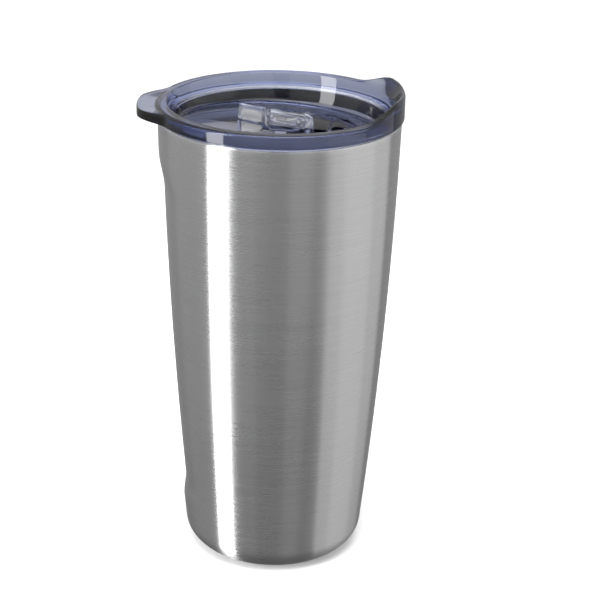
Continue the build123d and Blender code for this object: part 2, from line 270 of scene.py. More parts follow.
def brushing_group():
    """Hairlines round the axis: noise that is slow round the cup and quick up it, in two
    grades, with a slow noise that makes some bands fainter."""
    coarse_share = 0.4
    round_fine, round_coarse = 85.0, 40.0
    band_scale = 22.0
    group, given, out = new_group(
        "hairline brushing",
        [("Lines per Metre", 3200.0), ("Strength", 1.0)],
        [("Lines", "NodeSocketFloat"), ("Bands", "NodeSocketFloat")],
    )
    place = group.nodes.new("ShaderNodeTexCoord").outputs["Object"]
    split = group.nodes.new("ShaderNodeSeparateXYZ")
    group.links.new(place, split.inputs[0])
    fine = math_node(group, "MULTIPLY", split.outputs["Z"], given.outputs["Lines per Metre"])
    coarse = math_node(group, "MULTIPLY", fine, coarse_share)
    lines = []
    for height, slow in ((fine, round_fine), (coarse, round_coarse)):
        joined = group.nodes.new("ShaderNodeCombineXYZ")
        for axis in "XY":
            along = math_node(group, "MULTIPLY", split.outputs[axis], slow)
            group.links.new(along, joined.inputs[axis])
        group.links.new(height, joined.inputs["Z"])
        lines.append(noise(group, joined.outputs[0], 1.0))
    both = math_node(group, "MULTIPLY", math_node(group, "ADD", lines[0], lines[1]), 0.5)
    centred = math_node(group, "SUBTRACT", both, 0.5)
    scaled = math_node(group, "MULTIPLY", centred, given.outputs["Strength"])
    group.links.new(scaled, out.inputs["Lines"])
    group.links.new(noise(group, place, band_scale), out.inputs["Bands"])
    return group


def marks_group():
    """Handling marks: soft clouds, sharpened where they are thickest, as a value."""
    faintest, thickest = 0.42, 0.72
    group, given, out = new_group(
        "handling marks", [("Size", 60.0), ("Amount", 1.0)], [("Marks", "NodeSocketFloat")]
    )
    place = group.nodes.new("ShaderNodeTexCoord").outputs["Object"]
    cloud = group.nodes.new("ShaderNodeTexNoise")
    cloud.inputs["Detail"].default_value = 4.0
    group.links.new(place, cloud.inputs["Vector"])
    group.links.new(given.outputs["Size"], cloud.inputs["Scale"])
    ramp = group.nodes.new("ShaderNodeMapRange")
    ramp.inputs["From Min"].default_value = faintest
    ramp.inputs["From Max"].default_value = thickest
    group.links.new(cloud.outputs["Fac"], ramp.inputs["Value"])
    amount = math_node(group, "MULTIPLY", ramp.outputs[0], given.outputs["Amount"])
    group.links.new(amount, out.inputs["Marks"])
    return group


brushing = brushing_group()
marks = marks_group()
print("shared groups:", brushing.name, "and", marks.name)

# %% [markdown]
# ## Brushed steel
# Brushing leaves fine scratches round the cup. A scratch scatters light across itself,
# so a lamp's reflection is drawn out up and down the side and stays sharp at its left
# and right edges. The shader's anisotropy does that, with a tangent that runs round the
# axis. The brushing group adds the lines themselves: lighter and darker hairlines, some
# rougher than others, and a relief too faint to tear the reflection's edge.

# %% Steel


def brushed_steel(name, colour, roughness, lines=3200.0, strength=1.0, anisotropy=1.0, metal=1.0):
    """Metal with hairlines in colour, roughness and relief, and drawn-out reflections."""
    tone_swing, rough_swing, relief_depth = 0.28, 0.06, 0.04 * MM
    material, tree, shader = base_material(
        name, Metallic=metal, Anisotropic=anisotropy, Anisotropic_Rotation=0.25
    )
    hair = place_group(tree, brushing, Lines_per_Metre=lines, Strength=strength)
    worn = place_group(tree, marks, Size=28.0, Amount=1.0)
    light = spread(tree, hair.outputs["Lines"], 1.0, tone_swing)
    tree.links.new(shade(tree, colour, light), shader.inputs["Base Color"])
    rough = spread(tree, hair.outputs["Lines"], roughness, rough_swing)
    rough = math_node(tree, "ADD", rough, spread(tree, hair.outputs["Bands"], -0.02, 0.04))
    rough = math_node(tree, "ADD", rough, spread(tree, worn.outputs["Marks"], 0.0, 0.02))
    tree.links.new(rough, shader.inputs["Roughness"])
    relief = tree.nodes.new("ShaderNodeBump")
    relief.inputs["Strength"].default_value = 0.05
    relief.inputs["Distance"].default_value = relief_depth
    tree.links.new(hair.outputs["Lines"], relief.inputs["Height"])
    tree.links.new(relief.outputs[0], shader.inputs["Normal"])
    tangent = tree.nodes.new("ShaderNodeTangent")
    tangent.direction_type = "RADIAL"
    tangent.axis = "Z"
    tree.links.new(tangent.outputs[0], shader.inputs["Tangent"])
    return material


# %% [markdown]
# ## The outer shell
# A hydroformed stainless tube: a taper with a shallow bow, a rolled rim, a rounded bottom
# and a hem that makes the foot. Under the thumb tab a grip recess is pressed into one
# side. It is a flatter curve sunk into the side, with soft shoulders above and below, so
# it is worked out as the smaller of two radii, with the crease between them melted.

# %% The shell's side
recess_depth = 1.65 * MM
recess_flattening = 11.8 * MM
recess_foot, recess_low = 17.0 * MM, 28.0 * MM
recess_high, recess_head = cup_top - 26.0 * MM, cup_top - 12.0 * MM
round_from = cup_top - 6.0 * MM


def side_radius(height):
    """A straight cone from the table to the rim, plus a parabola that bows it outwards."""
    t = height / cup_top
    return base_radius + (rim_radius - base_radius) * t + 4 * side_bow * t * (1 - t)


def pressed(radius, height):
    """The radius after the grip recess: the softened minimum of the side and a circle
    whose centre is moved to +X and which lies recess_depth inside the side at -X."""
    sunk = smoothstep(recess_foot, recess_low, height)
    sunk = sunk * (1 - smoothstep(recess_high, recess_head, height))
    grip = radius - recess_depth * sunk + recess_flattening
    sideways = recess_flattening * np.sin(angle)
    flatter = recess_flattening * np.cos(angle) + np.sqrt(grip**2 - sideways**2)
    soft = 0.35 * MM * np.clip(sunk, 0.02, 1)
    low = 0.5 * (radius + flatter - np.sqrt((radius - flatter) ** 2 + soft**2))
    return np.where(height > round_from, radius, low)


print("grip recess from", round(recess_foot, 4), "to", round(recess_head, 4))

# %% [markdown]
# ## From the foot to the rim
# The rounded bottom is one rational quadratic, an arc of an ellipse, from the foot to the
# side. The rim is a quarter circle. Each row of the path is then repeated over all the
# angles, pressed in by the recess, and given the sheet's thickness.

# %% Outer shell
foot_outer = side_radius(0.0) - 8.64 * MM
foot_inner = foot_outer - 3.2 * MM
base_rounding = 9.6 * MM
rim_rolling = 1.0 * MM


def shell_path(step=2.4 * MM):
    """The shell's outside, from the top of the foot's hem to the weld on the rim."""
    turn = np.linspace(0, 1, 14)[:, None]
    arc_top = base_rounding * 0.93
    corner = np.array([side_radius(0.0), 0.0])
    start = np.array([corner[0] - base_rounding * 0.9, 0.0])
    end = np.array([side_radius(arc_top), arc_top])
    weight = 0.66
    shares = (1 - turn) ** 2, 2 * weight * turn * (1 - turn), turn**2
    bottom = (shares[0] * start + shares[1] * corner + shares[2] * end) / sum(shares)
    heights = np.arange(arc_top + step, cup_top - 1.4 * MM, step)
    side = np.stack([side_radius(heights), heights], -1)
    quarter = np.linspace(0, np.pi / 2, 7)
    lip = np.stack(
        [
            rim_radius - rim_rolling + rim_rolling * np.cos(quarter),
            cup_top - rim_rolling + rim_rolling * np.sin(quarter),
        ],
        -1,
    )
    hem = np.array([[foot_inner, 2.6 * MM], [foot_inner, 1.4 * MM], [foot_inner, 0.3 * MM]])
    toe = np.array([[foot_inner + 0.3 * MM, 0.0], [foot_outer - 1.0 * MM, 0.0]])
    weld = np.array([[weld_radius, cup_top]])
    path = np.concatenate([hem, toe, bottom, side, lip, weld])
    height = np.repeat(path[:, 1:], COLUMNS, axis=1)
    radius = np.repeat(path[:, :1], COLUMNS, axis=1)
    return pressed(radius, height), height


shell_steel = brushed_steel("brushed shell steel", (0.60, 0.60, 0.605), 0.27)
shell_outline = walled(*shell_path(), -shell_wall)
shell = turned("cup_shell", *shell_outline, wrap=True)
shell.data.materials.append(shell_steel)
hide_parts("outer_shell")
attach(shell, "cup")
print("shell", len(shell.data.polygons), "faces")

# %% [markdown]
# ## The liner and its bottom
# The inner cup follows the outer one with a gap for the vacuum, then steps out to a
# straight mouth that the lid's seal slides in, and rolls over at the rim to meet the
# shell. It is cut in two where the bottom is welded on, so there are two profiles.

# %% Liner profiles
liner_inset = shell_wall + vacuum_gap + shell_wall
joint_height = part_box("inner_liner")[0].z
seat_foot = cup_top - 14.0 * MM
taper_foot = seat_foot - 5.0 * MM
liner_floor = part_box("inner_base")[0].z + shell_wall


def liner_side(heights):
    """The liner's inside at those heights."""
    return np.stack([side_radius(heights) - liner_inset, heights], -1)


def wide(path):
    """A plain (radius, height) path repeated over the columns."""
    return np.repeat(path[:, :1], COLUMNS, axis=1), np.repeat(path[:, 1:], COLUMNS, axis=1)


floor_edge = side_radius(liner_floor) - liner_inset
quarter = np.linspace(-np.pi / 2, 0, 12)
liner_rounding = 7.4 * MM
bottom_arc = np.stack(
    [
        floor_edge - liner_rounding + liner_rounding * np.cos(quarter),
        liner_floor + liner_rounding + liner_rounding * np.sin(quarter),
    ],
    -1,
)
blend_up = np.linspace(0, 1, 12)[:, None] ** 2
bottom_arc[:, :1] += blend_up * (side_radius(bottom_arc[-1, 1]) - liner_inset - floor_edge)
floor_rows = np.stack([np.linspace(0, floor_edge - 8 * MM, 8), np.full(8, liner_floor)], -1)
lower_side = liner_side(np.linspace(liner_floor + 9 * MM, joint_height, 4))
base_profile = wide(np.concatenate([floor_rows, bottom_arc, lower_side]))
upper_side = liner_side(np.arange(joint_height, taper_foot, 3 * MM))
mouth = rounded(
    [
        (side_radius(taper_foot) - liner_inset, taper_foot - 1 * MM, 0),
        (side_radius(taper_foot) - liner_inset, taper_foot, 1 * MM),
        (mouth_radius, seat_foot, 1.2 * MM),
        (mouth_radius, cup_top, 0.9 * MM),
        (weld_radius, cup_top, 0),
    ],
    steps=7,
)
side_rows = wide(upper_side)
liner_profile = [np.concatenate([a, b]) for a, b in zip(side_rows, refined(*mouth))]
print("liner floor at", round(liner_floor, 4), "weld at", round(joint_height, 4))

# %% [markdown]
# ## The liner's two pieces
# The inside of the cup is electropolished, not brushed: its lines are faint, and it takes
# light from all sides, so half of it is a plain pale surface and half is metal.

# %% Liner
liner_steel = brushed_steel("satin liner steel", (0.78, 0.78, 0.78), 0.5, 2400.0, 0.6, 0.5, 0.5)
for name, node, profile, wrap in (
    ("cup_liner", "inner_liner", liner_profile, True),
    ("cup_liner_base", "inner_base", base_profile, False),
):
    piece = turned(name, *walled(*profile, shell_wall), wrap=wrap)
    piece.data.materials.append(liner_steel)
    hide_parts(node)
    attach(piece, "cup")
    print(name, len(piece.data.polygons), "faces")

# %% [markdown]
# ## The cap under the foot
# A thin stamped disc hides the pumping dimple. It is nearly flat, with a shallow raised
# ring near its edge, and it is polished in circles, so its tangent runs round too.

# %% Base cap
cap_low, cap_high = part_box("base_cap")
cap_radius = cap_high.x
cap_wall = 0.45 * MM
base_steel = brushed_steel("spun base steel", (0.58, 0.58, 0.57), 0.34, 2400.0, 0.5, 0.8)
cap_under = rounded(
    [
        (0.0, cap_low.z + 0.15 * MM, 0),
        (0.62 * cap_radius, cap_low.z + 0.15 * MM, 1.5 * MM),
        (0.70 * cap_radius, cap_low.z, 1.5 * MM),
        (cap_radius, cap_low.z, 0.5 * MM),
        (cap_radius, cap_high.z, 0),
    ]
)
cap = turned("base_cap_disc", *walled(*refined(*cap_under, 2 * MM), -cap_wall))
cap.data.materials.append(base_steel)
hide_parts("base_cap")
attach(cap, "cup")
print("base cap", len(cap.data.polygons), "faces")

# %% [markdown]
# ## Clear plastic
# The lid is one polished moulding. Light bends at its faces and loses a little red and
# green inside, so thin stretches look lilac grey and long ones, along the flange, navy.
# That is glass with absorption in its volume, not a coloured surface. Moulded plastic is
# never optically flat, so a slow noise gives it a faint ripple. The clear pieces are told
# to throw no shadow: light that is bent on its way into the cup is hardly ever found by a
# path tracer, and the inside would stay black.

# %% Clear material


def ripple_group():
    """Moulding ripple: a slow noise as the height of a very shallow relief."""
    group, given, out = new_group(
        "moulding ripple",
        [("Scale", 90.0), ("Strength", 0.1)],
        [("Normal", "NodeSocketVector"), ("Ripple", "NodeSocketFloat")],
    )
    place = group.nodes.new("ShaderNodeTexCoord").outputs["Object"]
    wave = group.nodes.new("ShaderNodeTexNoise")
    wave.inputs["Detail"].default_value = 1.0
    group.links.new(place, wave.inputs["Vector"])
    group.links.new(given.outputs["Scale"], wave.inputs["Scale"])
    relief = group.nodes.new("ShaderNodeBump")
    relief.inputs["Distance"].default_value = 0.0002
    group.links.new(given.outputs["Strength"], relief.inputs["Strength"])
    group.links.new(wave.outputs["Fac"], relief.inputs["Height"])
    group.links.new(relief.outputs[0], out.inputs["Normal"])
    group.links.new(wave.outputs["Fac"], out.inputs["Ripple"])
    return group


ripple = ripple_group()


def clear_plastic(name, passed, density, haze=0.012):
    """Clear moulding: bent light, a faint ripple, and a volume that absorbs density times
    (1 - passed) of each colour per metre."""
    white, ripple_strength = (1, 1, 1), 0.1
    material, tree, shader = base_material(
        name, IOR=1.49, Transmission_Weight=1.0, Metallic=0.0
    )
    wave = place_group(tree, ripple, Scale=70.0, Strength=ripple_strength)
    worn = place_group(tree, marks, Size=45.0, Amount=1.0)
    rough = spread(tree, worn.outputs["Marks"], haze, 0.03)
    tree.links.new(rough, shader.inputs["Roughness"])
    light = spread(tree, wave.outputs["Ripple"], 0.99, 0.01)
    tree.links.new(shade(tree, white, light), shader.inputs["Base Color"])
    tree.links.new(wave.outputs["Normal"], shader.inputs["Normal"])
    inside = tree.nodes.new("ShaderNodeVolumeAbsorption")
    inside.inputs["Color"].default_value = (*passed, 1)
    inside.inputs["Density"].default_value = density
    tree.links.new(inside.outputs[0], tree.nodes["Material Output"].inputs["Volume"])
    return material


lid_plastic = clear_plastic("smoke blue lid", (0.38, 0.435, 0.62), 360.0)
slider_plastic = clear_plastic("clear slider", (0.50, 0.53, 0.63), 150.0, haze=0.05)
print("clear mouldings:", lid_plastic.name, "and", slider_plastic.name)

# %% [markdown]
# ## Tools for pieces that aren't turned
# The lid's floor slopes to the spout, and the slider runs on it, so what belongs to either
# is drawn in the floor's own frame and moved there by one matrix. Three tools make such
# pieces: a slab with rounded corners, an exact boolean, and a bevel that breaks the sharp
# edges as a moulding's are.

# %% The floor's frame
floor_ring = 33.0 * MM
slider_back, slider_front = -15.2 * MM, 11.8 * MM
slider_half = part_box("slider")[1].y
slider_travel = frame["joints"][1]["range_m"][1]
prong_back, prong_front = -1.6 * MM, 2.4 * MM
slot_gap = 0.3 * MM
to_floor = Matrix.Translation((0, 0, floor_height)) @ Matrix.Rotation(floor_slope, 4, "Y")


def floor_at(radius, below=0.0):
    """Height of the sloping floor at that radius, for every column."""
    run = radius * np.cos(angle) * math.tan(floor_slope)
    return floor_height - run - below / math.cos(floor_slope)


def rounded_slab(name, low, high, corner, steps=6):
    """A slab in the floor's frame whose outline is a rectangle with quarter-circle
    corners, given by its lowest and highest corners."""
    turn = np.linspace(0, np.pi / 2, steps)
    middle = [(low[0] + high[0]) / 2, (low[1] + high[1]) / 2]
    half = [(high[0] - low[0]) / 2 - corner, (high[1] - low[1]) / 2 - corner]
    outline = []
    for sx, sy, start in ((1, 1, 0), (-1, 1, 1), (-1, -1, 2), (1, -1, 3)):
        arc = turn + start * np.pi / 2
        outline.append(
            np.stack(
                [
                    middle[0] + sx * half[0] + corner * np.cos(arc),
                    middle[1] + sy * half[1] + corner * np.sin(arc),
                ],
                -1,
            )
        )
    outline = np.concatenate(outline)
    count = len(outline)
    base = np.column_stack([outline, np.full(count, low[2])])
    top = np.column_stack([outline, np.full(count, high[2])])
    side = [[i, (i + 1) % count, count + (i + 1) % count, count + i] for i in range(count)]
    faces = side + [list(range(count))[::-1], list(range(count, 2 * count))]
    piece = mesh_object(name, np.concatenate([base, top]).tolist(), faces)
    piece.data.transform(to_floor)
    return piece


def combine(piece, other, operation):
    """piece with other cut away from it or joined to it; other is used up."""
    modifier = piece.modifiers.new("combine", "BOOLEAN")
    modifier.operation = operation
    modifier.solver = "EXACT"
    modifier.object = other
    result = bpy.data.meshes.new_from_object(
        piece.evaluated_get(bpy.context.evaluated_depsgraph_get())
    )
    piece.modifiers.clear()
    piece.data = result
    bpy.data.objects.remove(other)


def break_edges(piece, width, keep_outside=None, sharpest=35.0, segments=2):
    """Rounds every edge sharper than an angle, apart from those beyond a radius."""
    work = bmesh.new()
    work.from_mesh(piece.data)
    bmesh.ops.remove_doubles(work, verts=work.verts, dist=1e-6)
    sharp = [
        e
        for e in work.edges
        if len(e.link_faces) == 2
        and math.degrees(e.calc_face_angle(0)) > sharpest
        and (
            keep_outside is None
            or max(math.hypot(v.co.x, v.co.y) for v in e.verts) < keep_outside
        )
    ]
    bmesh.ops.bevel(
        work, geom=sharp, offset=width, segments=segments, profile=0.5, affect="EDGES",
        clamp_overlap=True,
    )
    bmesh.ops.dissolve_degenerate(work, edges=work.edges, dist=1e-7)
    work.to_mesh(piece.data)
    work.free()


print("floor tilted by", round(math.degrees(floor_slope), 2), "degrees")

# %% [markdown]
# ## The lid's floor and its openings
# The floor is cut by the drinking hole and by the slot that the slider's prongs run in.
# Such holes don't fit a turned grid, so the floor is a disc of its own, cut and with its
# edges broken, and is then stitched to the turned rest of the lid along one ring of
# vertices that both share. The slot's front end is where the prongs stop.

# %% Lid floor
disc_rows_r = np.stack([np.full(COLUMNS, floor_ring)] * 2)
disc_rows_z = np.stack([floor_at(floor_ring), floor_at(floor_ring, floor_thickness)])
ring_points = np.stack(
    [disc_rows_r * np.cos(angle), disc_rows_r * np.sin(angle), disc_rows_z], -1
)
disc_faces = [list(range(COLUMNS)), list(range(COLUMNS, 2 * COLUMNS))[::-1]]
disc_faces += [
    [i, COLUMNS + i, COLUMNS + (i + 1) % COLUMNS, (i + 1) % COLUMNS] for i in range(COLUMNS)
]
lid_floor = mesh_object("lid_floor", ring_points.reshape(-1, 3).tolist(), disc_faces)

through = 3 * MM
slot_back = prong_back - slot_gap
slot_front = prong_front + slider_travel + slot_gap
slot_half, slot_corner = 2.5 * MM, 0.4 * MM
hole_back = slot_front + 1.7 * MM
hole_front = hole_back + 6.5 * MM
hole_half, hole_corner = 7.5 * MM, 3.0 * MM
openings = [
    ((slot_back, -slot_half, -through), (slot_front, slot_half, through), slot_corner),
    ((hole_back, -hole_half, -through), (hole_front, hole_half, through), hole_corner),
]
for low, high, corner in openings:
    combine(lid_floor, rounded_slab("opening", low, high, corner), "DIFFERENCE")
break_edges(lid_floor, 0.32 * MM, keep_outside=floor_ring - 1 * MM)
print("lid floor", len(lid_floor.data.polygons), "faces")

# %% [markdown]
# ## The lid's turned part
# The profile runs from the floor up the well, over the rim, down the flange, along the
# plug skirt with its groove, and back under the floor. Two functions of the angle bend
# it: one raises the rim into the spout at +X, the other pulls the flange out into the
# thumb tab at -X and lowers its top so that the rim stands above it.

# %% The lid's outline
around = np.degrees(np.abs((angle + np.pi) % (2 * np.pi) - np.pi))
from_tab = 180.0 - around
spout_rise = lid_high.z - flange_top
tab_reach = -lid_low.x - flange_radius - 0.4 * MM
spout = 1 - smoothstep(21.0, 49.0, around)
dip = 0.3 * MM * (1 - smoothstep(0.0, 16.0, around))
tab = 1 - smoothstep(9.0, 28.0, from_tab)


def mixed(plain, special, share):
    """plain where share is 0, special where it is 1, in millimetres."""
    return (plain + (special - plain) * share) * MM


crest = flange_top + spout_rise * spout - dip * spout
rim_mm = flange_top / MM
outer = flange_radius + tab_reach * tab
foot = flange_bottom / MM
well_foot = plug_radius - 2.9 * MM
skirt_inner = plug_radius - 2.5 * MM
groove_low, groove_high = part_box("lid_gasket")[0].z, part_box("lid_gasket")[1].z
groove_radius = plug_radius - 0.7 * MM
lid_profile = rounded(
    [
        (floor_ring, floor_at(floor_ring), 0),
        (well_foot, floor_at(well_foot), 1.2 * MM),
        (mixed(40.7, 40.3, spout), mixed(rim_mm, rim_mm - 1.2, spout), mixed(0.45, 2.5, spout)),
        (mixed(41.8, 43.5, spout), crest, mixed(0.3, 0.5, spout)),
        (mixed(43.9, 44.3, spout), crest, 0.45 * MM),
        (mixed(44.4, 44.6, tab), crest - mixed(0.25, 1.05, tab), 0.35 * MM),
        (outer, crest - mixed(0.9, 1.05, tab), mixed(0.5, 0.6, tab)),
        (outer, mixed(foot + 0.5, foot + 0.9, tab), mixed(0.4, 0.5, tab)),
        (flange_radius - 0.6 * MM, mixed(foot, foot + 0.9, tab), 0.3 * MM),
        (flange_radius - 1.0 * MM, flange_bottom, 0.2 * MM),
        (plug_radius, flange_bottom, 0.3 * MM),
        (plug_radius, groove_high, 0.15 * MM),
        (groove_radius, groove_high, 0.15 * MM),
        (groove_radius, groove_low, 0.15 * MM),
        (plug_radius, groove_low, 0.15 * MM),
        (plug_radius, plug_bottom, 0.6 * MM),
        (skirt_inner, plug_bottom, 0.6 * MM),
        (skirt_inner, floor_at(skirt_inner, floor_thickness), 0.8 * MM),
        (floor_ring, floor_at(floor_ring, floor_thickness), 0),
    ],
    steps=6,
)
lid = turned("lid_moulding", *refined(*lid_profile, 2 * MM))
print("turned part of the lid", len(lid.data.polygons), "faces")

# %% [markdown]
# ## Floor and turned part made one
# Glass only bends light rightly if its surface is closed, so the two meshes lose the faces
# that stood on the shared ring and their edges are merged there. The number of open edges
# is counted and should be 0.

# %% Lid body

def stitch(piece, other, ring):
    """Joins two open-edged meshes: takes away the faces that stood on the shared ring and
    merges the vertices of the two edges there."""
    work = bmesh.new()
    work.from_mesh(other.data)
    wall = [
        f
        for f in work.faces
        if min(math.hypot(v.co.x, v.co.y) for v in f.verts) > ring - 1e-5
    ]
    bmesh.ops.delete(work, geom=wall, context="FACES")
    work.to_mesh(other.data)
    work.clear()
    work.from_mesh(piece.data)
    work.from_mesh(other.data)
    bmesh.ops.remove_doubles(work, verts=work.verts, dist=2e-6)
    bmesh.ops.recalc_face_normals(work, faces=work.faces)
    for f in work.faces:
        f.smooth = True
    open_edges = sum(1 for e in work.edges if len(e.link_faces) != 2)
    work.to_mesh(piece.data)
    work.free()
    bpy.data.objects.remove(other)
    return open_edges


open_edges = stitch(lid, lid_floor, floor_ring)
lid.data.set_sharp_from_angle(angle=math.radians(40))
lid.data.materials.clear()
lid.data.materials.append(lid_plastic)
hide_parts("lid_body")
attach(lid, "lid")
lid.visible_shadow = False
print("lid", len(lid.data.polygons), "faces,", open_edges, "open edges")

# %% [markdown]
# ## The silicone ring
# A soft ring with two lips fills the groove and wipes the mouth's wall. From above it is
# the dark band behind the clear wall of the well.

# %% Gasket
gasket_low, gasket_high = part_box("lid_gasket")
lip_radius = gasket_high.y
waist = plug_radius - 0.3 * MM
lip = 0.7 * MM


def silicone(name, colour):
    """Soft black rubber: dull, with a powdery bloom."""
    material, tree, shader = base_material(name, IOR=1.42, Specular_IOR_Level=0.25)
    worn = place_group(tree, marks, Size=180.0, Amount=1.0)
    light = spread(tree, worn.outputs["Marks"], 0.92, 0.2)
    tree.links.new(shade(tree, colour, light), shader.inputs["Base Color"])
    tree.links.new(spread(tree, worn.outputs["Marks"], 0.65, 0.12), shader.inputs["Roughness"])
    return material


gasket_profile = rounded(
    [
        (groove_radius + 0.05 * MM, gasket_low.z + 1.6 * MM, 0),
        (groove_radius + 0.05 * MM, gasket_low.z + 0.06 * MM, 0.2 * MM),
        (waist, gasket_low.z + 0.06 * MM, 0.3 * MM),
        (lip_radius, gasket_low.z + 0.75 * lip, 0.25 * MM),
        (waist, gasket_low.z + 2.0 * lip, 0.5 * MM),
        (waist, gasket_high.z - 1.5 * lip, 0.5 * MM),
        (lip_radius, gasket_high.z - 0.4 * lip, 0.25 * MM),
        (waist, gasket_high.z - 0.06 * MM, 0.3 * MM),
        (groove_radius + 0.05 * MM, gasket_high.z - 0.06 * MM, 0.2 * MM),
        (groove_radius + 0.05 * MM, gasket_low.z + 1.7 * MM, 0),
    ],
    steps=4,
)
gasket = turned("lid_seal", *gasket_profile, wrap=True)
gasket.data.materials.append(silicone("black silicone", (0.012, 0.012, 0.014)))
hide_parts("lid_gasket")
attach(gasket, "lid")
print("gasket", len(gasket.data.polygons), "faces")

# %% [markdown]
# ## The slider
# A small clear moulding that runs on the floor: a thumb pad at the back, a notch for the
# nail, a wedge-shaped top that falls with the floor, and a ridge at the front. It is a
# shell, open underneath. Its side view is a polygon, so it is that polygon drawn across,
# hollowed by a second one whose roof steps down under the notch.

# %% Slider shell
back_height, front_height = 5.8 * MM, 3.0 * MM
top_fall = (back_height - front_height) / (slider_front - slider_back)
pad_end = slider_back + 9.6 * MM
ridge_start = slider_front - 3.2 * MM
rest_gap = 0.15 * MM
notch_depth = 1.0 * MM
ridge_rise = 0.7 * MM
slider_wall = 1.4 * MM
past = 1.0 * MM


def slider_top(along):
    """Height of the wedge-shaped top above the floor."""
    return back_height - top_fall * (along - slider_back)


def across(name, side_view, half_width):
    """A side view in the floor's frame, drawn from -half_width to half_width."""
    count = len(side_view)
    flat = [(u, -half_width, w) for u, w in side_view] + [(u, half_width, w) for u, w in side_view]
    faces = [[i, (i + 1) % count, count + (i + 1) % count, count + i] for i in range(count)]
    faces += [list(range(count))[::-1], list(range(count, 2 * count))]
    piece = mesh_object(name, flat, faces)
    piece.data.transform(to_floor)
    return piece


slider = across(
    "drink_slider",
    [
        (slider_back, rest_gap),
        (slider_back, slider_top(slider_back)),
        (pad_end, slider_top(pad_end)),
        (pad_end + notch_depth, slider_top(pad_end) - 1.5 * notch_depth),
        (pad_end + 2 * notch_depth, slider_top(pad_end) - 0.5 * notch_depth),
        (ridge_start, slider_top(ridge_start)),
        (ridge_start + 0.3 * ridge_rise, slider_top(ridge_start) + ridge_rise),
        (slider_front, slider_top(slider_front) + ridge_rise),
        (slider_front, rest_gap),
    ],
    slider_half,
)
notch_roof = slider_top(pad_end) - 1.5 * notch_depth - slider_wall
hollow = across(
    "hollow",
    [
        (slider_back + slider_wall, -past),
        (slider_back + slider_wall, slider_top(slider_back) - slider_wall),
        (pad_end - slider_wall, slider_top(pad_end) - slider_wall),
        (pad_end, notch_roof),
        (slider_front - slider_wall, slider_top(slider_front) - slider_wall),
        (slider_front - slider_wall, -past),
    ],
    slider_half - slider_wall,
)
combine(slider, hollow, "DIFFERENCE")
print("hollow slider", len(slider.data.polygons), "faces")

# %% [markdown]
# ## The prongs
# Two prongs hang from the roof under the notch, reach through the slot and hook under the
# floor, one to each side. They are joined to the shell before its edges are broken, so
# that the whole slider is one closed surface.

# %% Slider
prong_inner, prong_outer, hook_reach = 0.8 * MM, 2.2 * MM, 1.0 * MM
prong_corner, slider_edge = 0.1 * MM, 0.28 * MM
hook_top = -floor_thickness - rest_gap
hook_foot = hook_top - 1.2 * MM
for side in (-1, 1):
    for inner_edge, outer_edge, upper in (
        (prong_inner, prong_outer, notch_roof + slider_wall / 2),
        (prong_outer - 0.2 * MM, prong_outer + hook_reach, hook_top),
    ):
        ends = sorted((side * inner_edge, side * outer_edge))
        prong = rounded_slab(
            "prong", (prong_back, ends[0], hook_foot), (prong_front, ends[1], upper), prong_corner
        )
        combine(slider, prong, "UNION")
break_edges(slider, slider_edge)
slider.data.polygons.foreach_set("use_smooth", np.ones(len(slider.data.polygons), bool))
slider.data.set_sharp_from_angle(angle=math.radians(40))
slider.data.materials.clear()
slider.data.materials.append(slider_plastic)
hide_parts("slider")
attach(slider, "slider")
slider.visible_shadow = False
print("slider", len(slider.data.polygons), "faces")

# %% [markdown]
# ## What stays hidden between the walls
# The base disc, the foil, the getter, its clip and the pumping seal are as the CAD made
# them. They keep their shapes and get finishes of their own.

# %% Hidden pieces


def dull_metal(name, colour, roughness, grain):
    """Unpolished metal: a grainy tone and roughness, no brushing."""
    material, tree, shader = base_material(name, Metallic=1.0)
    worn = place_group(tree, marks, Size=grain, Amount=1.0)
    light = spread(tree, worn.outputs["Marks"], 0.88, 0.24)
    tree.links.new(shade(tree, colour, light), shader.inputs["Base Color"])
    tree.links.new(spread(tree, worn.outputs["Marks"], roughness, 0.15), shader.inputs["Roughness"])
    return material


hidden_finishes = {
    "outer_base": base_steel,
    "getter_clip": dull_metal("stamped strap steel", (0.55, 0.55, 0.54), 0.38, 260.0),
    "copper_foil": dull_metal("rolled copper foil", (0.86, 0.46, 0.30), 0.22, 120.0),
    "vacuum_seal": dull_metal("fused solder", (0.42, 0.42, 0.44), 0.40, 320.0),
    "getter": dull_metal("pressed getter powder", (0.20, 0.20, 0.21), 0.75, 900.0),
}
for node, finish in hidden_finishes.items():
    mesh = frame["nodes"][node].data
    mesh.materials.clear()
    mesh.materials.append(finish)
print(len(hidden_finishes), "pieces keep the CAD shape")

# %% [markdown]
# ## The paper
# The paper under the cup is there for the eye and for diffuse light. The steel would turn
# white if it mirrored it, and the lid would glow if it bent it into view, so glossy and
# transmission rays pass it and meet the room.

# %% Paper
sweep_mesh = bpy.data.meshes.new("sweep")
reach = 8.0
sweep_mesh.from_pydata(
    [(-reach, -reach, 0), (reach, -reach, 0), (reach, reach, 0), (-reach, reach, 0)],
    [],
    [(0, 1, 2, 3)],
)
sweep = bpy.data.objects.new("sweep", sweep_mesh)
bpy.context.scene.collection.objects.link(sweep)
paper = base_material("pale paper", Base_Color=(0.92, 0.92, 0.92, 1), Roughness=0.9)[0]
sweep.data.materials.append(paper)
sweep.visible_glossy = False
sweep.visible_transmission = False
sweep.visible_shadow = False
print("paper", 2 * reach, "m wide")

# %% [markdown]
# ## The room
# The room is white to the eye, but each kind of ray meets its own brightness. What the
# steel mirrors is grey and darker towards the floor, which keeps the side from washing
# out. What is seen through the lid is grey too, and brighter overhead. Light crosses many
# faces of the lid, the slider and the liner before it gets out, so paths may be long.

# %% Room

